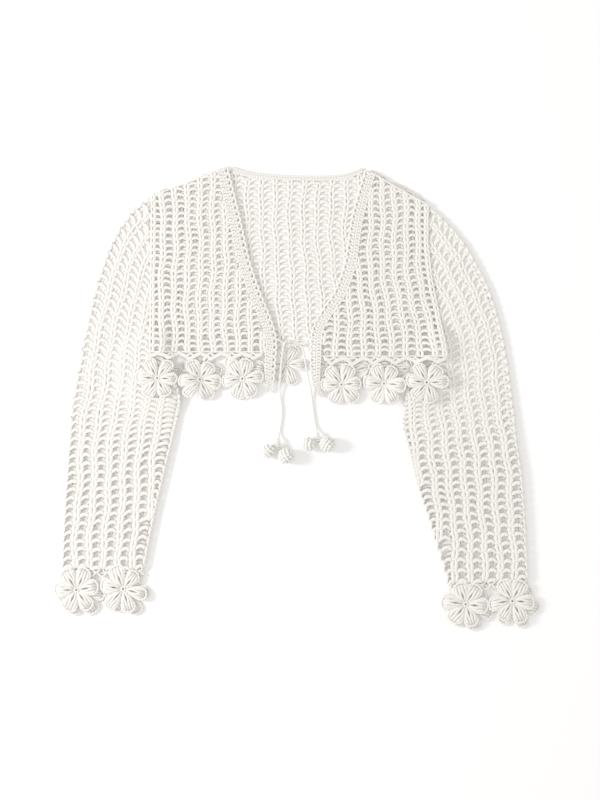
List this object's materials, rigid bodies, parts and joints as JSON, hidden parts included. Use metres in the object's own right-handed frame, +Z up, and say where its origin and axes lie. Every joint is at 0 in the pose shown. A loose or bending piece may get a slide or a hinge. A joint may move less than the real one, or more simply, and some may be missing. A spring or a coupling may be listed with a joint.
{
  "type": "crochet cardigan",
  "caption": "Cropped open-front crochet cardigan in off-white cotton net with flower edging, laid flat, with a drawn tie.",
  "frame": {"origin": "middle of the cardigan's box as it lies, on the surface that it rests on", "axes": "+X towards the wearer's left sleeve (the picture's right), +Y towards the neck, +Z up from the surface"},
  "size_m": [0.678, 0.6478, 0.0192],
  "materials": {
    "cotton_net": "matte cotton yarn, open net",
    "cotton_edging": "matte cotton yarn, close stitches",
    "cotton_flower": "matte cotton yarn, puffed stitches",
    "cotton_cord": "matte twisted cotton"
  },
  "bodies": {
    "root": {"back": "cotton_net", "front_right": "cotton_net", "front_left": "cotton_net", "sleeve_right": "cotton_net", "sleeve_left": "cotton_net", "lattice_back": "cotton_net", "lattice_front_right": "cotton_net", "lattice_front_left": "cotton_net", "band_right": "cotton_edging", "band_left": "cotton_edging", "band_neck": "cotton_edging", "flower_front_right_1": "cotton_flower", "flower_front_right_2": "cotton_flower", "flower_front_right_3": "cotton_flower", "flower_front_left_1": "cotton_flower", "flower_front_left_2": "cotton_flower", "flower_front_left_3": "cotton_flower", "flower_back_1": "cotton_flower", "flower_back_2": "cotton_flower", "flower_back_3": "cotton_flower", "flower_back_4": "cotton_flower", "flower_back_5": "cotton_flower", "flower_back_6": "cotton_flower", "flower_back_7": "cotton_flower", "flower_cuff_right_1": "cotton_flower", "flower_cuff_right_1_under": "cotton_flower", "flower_cuff_right_2": "cotton_flower", "flower_cuff_right_2_under": "cotton_flower", "flower_cuff_left_1": "cotton_flower", "flower_cuff_left_1_under": "cotton_flower", "flower_cuff_left_2": "cotton_flower", "flower_cuff_left_2_under": "cotton_flower", "tie_right": "cotton_cord", "tie_left": "cotton_cord", "knot_right": "cotton_cord", "knot_left": "cotton_cord", "ball_right_1": "cotton_cord", "ball_right_2": "cotton_cord", "ball_left_1": "cotton_cord", "ball_left_2": "cotton_cord"}
  },
  "joints": []
}
